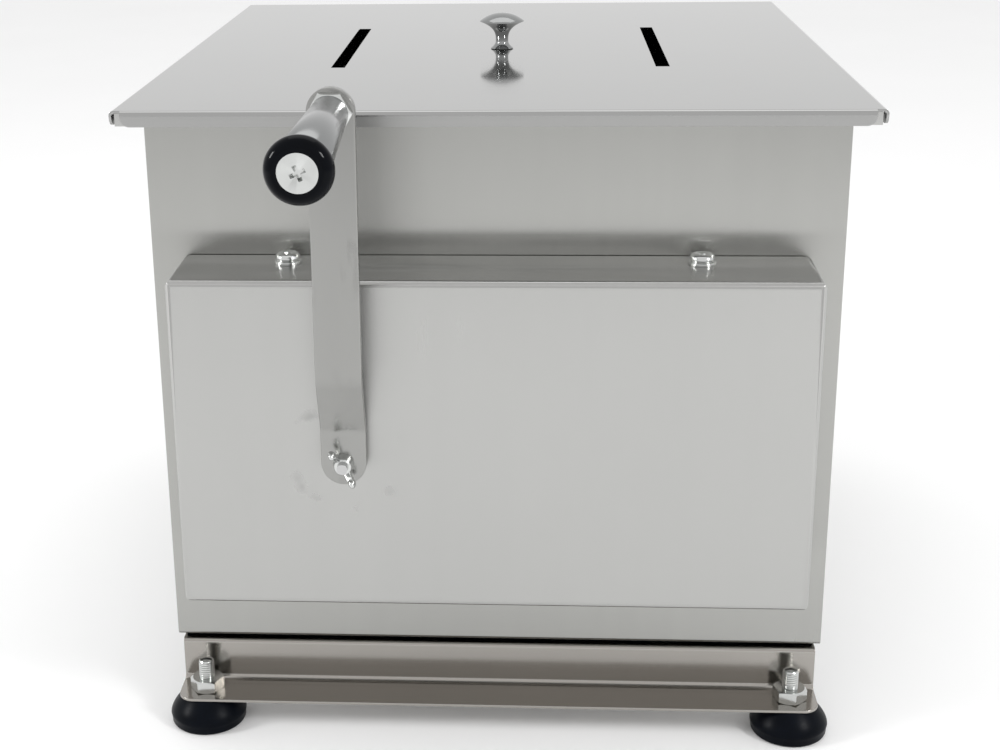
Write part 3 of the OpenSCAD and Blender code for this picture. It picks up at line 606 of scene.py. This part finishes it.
def make_feet_pieces():
    """The four feet with their threaded studs and the nuts that hold them to the rails."""
    diameter = foot_diameter()
    height = top_of("feet") / MM
    stud_top = top_of("foot_studs") / MM
    nut_box = size_of("foot_nuts")
    nut_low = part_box("foot_nuts")[0].z
    feet = []
    studs = []
    nuts = []
    for number, place in enumerate(foot_places()):
        feet.append(placed(rubber_foot(diameter, height), place))
        studs.append(placed(threaded_rod(STUD_DIAMETER, STUD_PITCH, height - 1, stud_top), place))
        turn = Matrix.Rotation(math.radians(NUT_TURN + NUT_TURN_STEP * number), 4, "Z")
        nut = hex_nut(NUT_FLATS, nut_box.z, STUD_DIAMETER - 0.6)
        nuts.append(placed(nut, Vector((place.x, place.y, nut_low)), turn))
    piece("rubber_feet", joined(feet), "feet", "frame", "foot_rubber")
    piece("threaded_studs", joined(studs), "foot_studs", "frame", "zinc_plate", 24)
    piece("stud_hex_nuts", joined(nuts), "foot_nuts", "frame", "zinc_plate", 22)


def make_knob():
    """The lid's turned knob: a spread base, a slim waist, a trumpet flare and a domed top."""
    low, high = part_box("lid_knob")
    height = (high.z - low.z) / MM
    head = size_of("lid_knob").x / 2
    waist = 3.5
    base = 6.4
    lip = 0.4
    waist_height = 4.4
    rim_height = height * 0.77
    rim_edge = 0.35
    profile = [(0, 0), (base - lip, 0), (base, lip)]
    for rise in steps_to_one(8):
        profile.append((waist + (base - waist) * (1 - rise) ** 2, lip + rise * (waist_height - lip)))
    for rise in steps_to_one(20):
        profile.append((waist + (head - waist) * rise**3, waist_height + rise * (rim_height - waist_height)))
    dome_base = rim_height + rim_edge
    profile.append((head - rim_edge / 2, dome_base))
    for rise in steps_to_one(10):
        bulge = 1 - (1 - rise) ** 2.2
        profile.append(((head - rim_edge / 2) * (1 - rise), dome_base + (height - dome_base) * bulge))
    middle = middle_of("lid_knob")
    place = Vector((middle.x, middle.y, low.z))
    piece("turned_knob", placed(revolved(profile), place), "lid_knob", "lid", "polished_steel", 28)


def steps_to_one(steps):
    """Shares from one step up to 1."""
    return [step / steps for step in range(1, steps + 1)]


def pan_head(profile, top, recess, dish):
    """A screw turned from a profile, with a dished top at `top` and a cross recess in the dish."""
    head = revolved(profile, 48)
    dish_radius, dish_depth = dish
    bowl = [(0, top - dish_depth), (dish_radius * 0.6, top - dish_depth * 0.85), (dish_radius, top)]
    bowl += [(dish_radius, top + 1), (0, top + 1)]
    dished = cut_away(head, revolved(bowl, 48))
    width, span, depth = recess
    cutter = cross_recess(width, span, depth)
    cutter.transform(Matrix.Translation((0, 0, top - dish_depth + depth * 0.2)))
    return cut_away(dished, cutter)


def make_cover_screws():
    """The cover's two pan head screws, each with a collar under its head."""
    low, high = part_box("cover_screws")
    head = 12
    seat = top_of("cover_washers")
    height = (high.z - seat) / MM
    length = (seat - low.z) / MM
    radius = head / 2
    shank = 3
    collar = 5.4
    collar_height = 1.0
    collar_edge = 0.2
    neck = 5.1
    neck_top = collar_height + 0.15
    dome = 2.5
    profile = [(0, -length), (shank, -length), (shank, 0), (collar - collar_edge, 0), (collar, collar_edge)]
    profile += [(collar, collar_height - collar_edge), (neck, collar_height), (neck, neck_top)]
    profile += [(radius - 0.3, neck_top), (radius, collar_height + 0.4)]
    profile += arc((radius - dome, height - dome), dome, 8, 80, 8)
    profile += [(0, height)]
    recess = (1.8, 6.0, 1.8)  # width, span and depth of the cross
    dish = (3.6, 0.9)  # radius and depth
    y = middle_of("cover_screws").y
    screws = []
    for number, x in enumerate(pair_places("cover_screws", head)):
        turn = Matrix.Rotation(math.radians(30 + 25 * number), 4, "Z")
        screw = pan_head(profile, height, recess, dish)
        screws.append(placed(screw, Vector((x, y, seat)), turn))
    piece("cover_pan_screws", joined(screws), "cover_screws", "frame", "zinc_plate")


def make_grip():
    """The grip's steel tube, its black end cap, the screw in the cap and the lock nut."""
    make_grip_tube()
    make_end_cap()
    make_grip_screw()
    make_lock_nut()


GRIP_ROOT_DIAMETER = 16.4
AXLE_DIAMETER = 10
CAP_RECESS = 9.2  # radius of the round recess for the screw in the grip's cap
LOCK_NUT_FLATS = 17


def make_grip_tube():
    """The grip's tapered tube, in a softer finish than the polished knob that shares its slot."""
    start, end = span_along_grip("grip_tube")
    length = end - start
    root = GRIP_ROOT_DIAMETER / 2
    tip = size_of("grip_tube").x / 2
    wall = 1.2
    lip = 0.5
    profile = [(root - lip, 0), (root, lip), (tip, length - lip), (tip - lip, length)]
    profile += [(tip - wall, length), (root - wall, lip), (root - wall + 0.2, 0)]
    tube = placed(revolved(profile, 96, closed=True), on_grip(start), GRIPPED)
    shape = piece("grip_steel_tube", tube, "grip_tube", "grip", "polished_steel", 50)
    shape.data.materials[0] = brushed_steel("satin_tube", (0.29, 0.295, 0.295), 0.2, ALONG_Y, grain=0.006)


def make_end_cap():
    """A bulged black cap with a shoulder on the tube and a round recess for the screw."""
    radius = size_of("grip_end_cap").x / 2
    end = span_along_grip("grip_end_cap")[1]
    length = 14
    bulge = 5.4
    spigot = 8
    spigot_radius = 8.5
    shoulder = size_of("grip_tube").x / 2 + 0.4
    recess_depth = 4.1
    bore = AXLE_DIAMETER / 2 + 0.05
    profile = [(bore, -spigot), (spigot_radius, -spigot), (spigot_radius, 0)]
    profile += arc((shoulder - 0.5, 0.5), 0.5, -90, 0, 3)
    profile += arc((radius - bulge, length - bulge), bulge, -40, 92, 18)
    profile += arc((CAP_RECESS + 0.5, length - 0.55), 0.5, 90, 180, 3)
    profile += [(CAP_RECESS, length - recess_depth), (bore, length - recess_depth)]
    cap = placed(revolved(profile, 96, closed=True), on_grip(end - length), GRIPPED)
    piece("grip_black_cap", cap, "grip_end_cap", "grip", "black_plastic", 40)


def make_grip_screw():
    """The broad pan head screw that nearly fills the recess in the grip's cap."""
    start, end = span_along_grip("grip_screw")
    radius = CAP_RECESS - 0.3
    height = 3
    length = end - start - height
    edge = 0.25
    shank = 2.5
    recess = (2.0, 9.0, 2.0)  # width, span and depth of the cross
    dish = (2.2, 0.3)  # radius and depth
    profile = [(0, -length), (shank, -length), (shank, 0), (radius - 0.2, 0), (radius, 0.2)]
    profile += arc((radius - edge, height - edge), edge, 0, 90, 4)
    profile += [(radius - 1.5 * edge, height), (0, height)]
    screw = pan_head(profile, height, recess, dish)
    turn = GRIPPED @ Matrix.Rotation(math.radians(24), 4, "Z")
    piece("grip_pan_screw", placed(screw, on_grip(end - height), turn), "grip_screw", "drive", "zinc_plate")


def make_lock_nut():
    """The hexagon nut between the crank arm and the root of the grip."""
    start, end = span_along_grip("grip_lock_nut")
    nut = hex_nut(LOCK_NUT_FLATS, end - start, AXLE_DIAMETER)
    piece("grip_hex_nut", placed(nut, on_grip(start), GRIPPED), "grip_lock_nut", "drive", "zinc_plate", 22)


ARM_WIDTH = 21
ARM_THICKNESS = 4


def arm_segments():
    """The arm's centre line seen from the side, as (length in mm, radians turned) segments.

    From the shaft's axis it goes straight up, bends forwards, slopes, bends most of the
    way back and goes straight again to the grip's axis, still tipped by the grip's droop.
    """
    angle = math.radians(24)
    low_radius = 8
    high_radius = 20
    start = 15
    half = ARM_THICKNESS / 2
    offset = (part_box("crank_arm")[1].y - GRIP.y) / MM - ARM_THICKNESS
    length = Vector((GRIP.x - SHAFT.x, GRIP.z - SHAFT.z)).length / MM
    forward = offset + half - half * math.cos(DROOP)
    forward -= low_radius * (1 - math.cos(angle)) + high_radius * (math.cos(DROOP) - math.cos(angle))
    up = length + half * math.sin(DROOP) - start
    up -= low_radius * math.sin(angle) + high_radius * (math.sin(angle) - math.sin(DROOP))
    slope = (forward * math.cos(DROOP) - up * math.sin(DROOP)) / math.sin(angle - DROOP)
    return [
        (start, 0),
        (low_radius * angle, angle),
        (slope, 0),
        (high_radius * (angle - DROOP), DROOP - angle),
        ((up - slope * math.cos(angle)) / math.cos(DROOP), 0),
    ]


def along(segments, distance):
    """The (forward, up) point and the direction at a distance along a chain of segments."""
    point = Vector((0, 0))
    direction = 0.0
    last = len(segments) - 1
    for number, (length, turning) in enumerate(segments):
        run = distance if number == last else min(distance, length)
        turned = direction + turning * run / length
        if turning:
            forward = math.cos(direction) - math.cos(turned)
            up = math.sin(turned) - math.sin(direction)
            point += length / turning * Vector((forward, up))
        else:
            point += run * Vector((math.sin(direction), math.cos(direction)))
        direction = turned
        distance -= run
        if distance <= 0:
            break
    return point, direction


def bend_levels(segments, steps=10):
    """Distances along the chain at which its bent segments are divided."""
    levels = []
    start = 0
    for length, turning in segments:
        if turning:
            levels += [start + length * step / steps for step in range(steps + 1)]
        start += length
    return levels


def make_arm():
    """The flat crank arm: a round-ended bar with two bends and softened edges."""
    segments = arm_segments()
    total = sum(length for length, turning in segments)
    half = ARM_WIDTH / 2
    outline = arc((0, 0), half, 180, 360, 24) + arc((0, total), half, 0, 180, 24)
    builder = bmesh.new()
    face = builder.faces.new([builder.verts.new((x, y, -ARM_THICKNESS / 2)) for x, y in outline])
    grown = bmesh.ops.extrude_face_region(builder, geom=[face])
    for corner in [g for g in grown["geom"] if isinstance(g, bmesh.types.BMVert)]:
        corner.co.z = ARM_THICKNESS / 2
    rims = [e for e in builder.edges if abs(e.verts[0].co.z - e.verts[1].co.z) < 1e-6]
    bmesh.ops.bevel(builder, geom=rims, offset=0.5, segments=3, affect="EDGES", profile=0.5)
    for level in bend_levels(segments):
        everything = builder.verts[:] + builder.edges[:] + builder.faces[:]
        bmesh.ops.bisect_plane(builder, geom=everything, plane_co=(0, level, 0), plane_no=(0, 1, 0))
    for corner in builder.verts:
        point, direction = along(segments, corner.co.y)
        normal = Vector((math.cos(direction), -math.sin(direction)))
        bent = point + corner.co.z * normal
        corner.co = Vector((corner.co.x, bent.y, bent.x))
    centre_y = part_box("crank_arm")[1].y - ARM_THICKNESS / 2 * MM
    arm = placed(builder, on_shaft(centre_y), CRANKED)
    piece("bent_crank_arm", arm, "crank_arm", "drive", "arm_steel", 30)


def make_wing_nut():
    """A cast wing nut: a coned boss with two leaning wings, melted together by a remesh."""
    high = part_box("wing_nut")[1]
    boss_height = 5
    boss_foot = 5
    boss_top = 3.6
    boss_profile = [(0, 0), (boss_foot, 0), (boss_foot, 0.8), (boss_top + 0.5, boss_height - 0.6)]
    boss_profile += [(boss_top, boss_height), (0, boss_height)]
    web_root = (3.0, 2.8, 0.6, 4.4)  # distance from the axis, width, lowest and highest point
    web_end = (7.8, 2.5, 4.9, 9.2)
    tip_middle = (8.2, 0, 7.2)
    tip_radii = (2.2, 1.7, 3.3)
    bore = 2.55
    wings_turned = 124  # degrees round the crank's axis
    parts = [revolved(boss_profile, 48)]
    for turn in (0, 180):
        tip = bmesh.new()
        bmesh.ops.create_uvsphere(tip, u_segments=24, v_segments=16, radius=1)
        tip.transform(Matrix.Translation(tip_middle) @ Matrix.Diagonal((*tip_radii, 1)))
        web = bmesh.new()
        bmesh.ops.create_cube(web, size=1)
        for corner in web.verts:
            out, width, lowest, highest = web_end if corner.co.x > 0 else web_root
            corner.co = (out, corner.co.y * width, lowest if corner.co.z < 0 else highest)
        for part in (tip, web):
            part.transform(Matrix.Rotation(math.radians(turn), 4, "Z"))
            parts.append(part)
    builder = joined(parts)
    mesh = bpy.data.meshes.new("wing_nut_cast")
    builder.to_mesh(mesh)
    builder.free()
    shape = bpy.data.objects.new("wing_nut_cast", mesh)
    bpy.context.scene.collection.objects.link(shape)
    remesh = shape.modifiers.new("cast", "REMESH")
    remesh.mode = "VOXEL"
    remesh.voxel_size = 0.22
    smooth = shape.modifiers.new("smooth", "SMOOTH")
    smooth.iterations = 3
    cast = evaluated(shape)
    bpy.data.objects.remove(shape)
    bpy.data.meshes.remove(mesh)
    bored = cut_away(cast, revolved([(0, -2), (bore, -2), (bore, 12), (0, 12)], 32))
    turn = CRANKED @ Matrix.Rotation(math.radians(wings_turned), 4, "Z")
    piece("cast_wing_nut", placed(bored, on_shaft(high.y), turn), "wing_nut", "drive", "zinc_plate", 60)


# ---------------------------------------------------------------- studio


def make_floor():
    """A plain pale floor that runs far past the object."""
    reach = 6
    mesh = bpy.data.meshes.new("floor")
    corners = [(-reach, -reach, 0), (reach, -reach, 0), (reach, reach, 0), (-reach, reach, 0)]
    mesh.from_pydata(corners, [], [(0, 1, 2, 3)])
    floor = bpy.data.objects.new("floor", mesh)
    bpy.context.scene.collection.objects.link(floor)
    recipe = Recipe("floor_paint")
    mottle = recipe.noise(3, detail=3)
    tint = recipe.blended(recipe.ranged(mottle, 0, 1), (0.92, 0.92, 0.92), (0.935, 0.935, 0.935))
    rough = recipe.ranged(mottle, 0.75, 0.85)
    mesh.materials.append(recipe.finish(tint, rough))


def area_light(name, place, aim, size, power):
    light = bpy.data.lights.new(name, "AREA")
    light.shape = "RECTANGLE"
    light.size, light.size_y = size
    light.energy = power
    shape = bpy.data.objects.new(name, light)
    shape.location = place
    shape.rotation_euler = (Vector(aim) - Vector(place)).to_track_quat("-Z", "Y").to_euler()
    bpy.context.scene.collection.objects.link(shape)


def make_lights():
    """A bright even room, with one large soft box above and two small ones in front."""
    world = bpy.data.worlds.new("studio")
    world.use_nodes = True
    background = world.node_tree.nodes["Background"]
    background.inputs["Color"].default_value = (1, 1, 1, 1)
    background.inputs["Strength"].default_value = 0.93
    bpy.context.scene.world = world
    target = (0, 0, 0.15)
    area_light("overhead", (0.0, 0.5, 1.8), target, (1.6, 0.9), 4)
    front_size = (0.28, 0.36)
    front_power = 9
    area_light("left_front", (-1.46, -0.54, 0.81), target, front_size, front_power)
    area_light("right_front", (1.12, -0.92, 0.97), target, front_size, front_power)


def make_camera():
    """A camera in front of the object and above it, looking slightly down and to the left."""
    camera = bpy.data.cameras.new("camera")
    camera.sensor_width = 36
    camera.lens = 58.96
    camera.shift_x = 0.0632
    camera.shift_y = -0.0663
    shape = bpy.data.objects.new("camera", camera)
    bpy.context.scene.collection.objects.link(shape)
    heading = Matrix.Rotation(math.radians(3.67), 4, "Z")
    tilt = Matrix.Rotation(math.radians(90 - 17.69), 4, "X")
    roll = Matrix.Rotation(math.radians(-0.84), 4, "Z")
    place = Vector((0.0203, front_of("front_plate") - 0.7515, SHAFT.z + 0.2994))
    shape.matrix_world = Matrix.Translation(place) @ heading @ tilt @ roll
    bpy.context.scene.camera = shape
    bpy.context.scene.view_settings.view_transform = "Standard"


dress_cad_nodes()
make_feet_pieces()
make_knob()
make_cover_screws()
make_grip()
make_arm()
make_wing_nut()
make_floor()
make_lights()
make_camera()
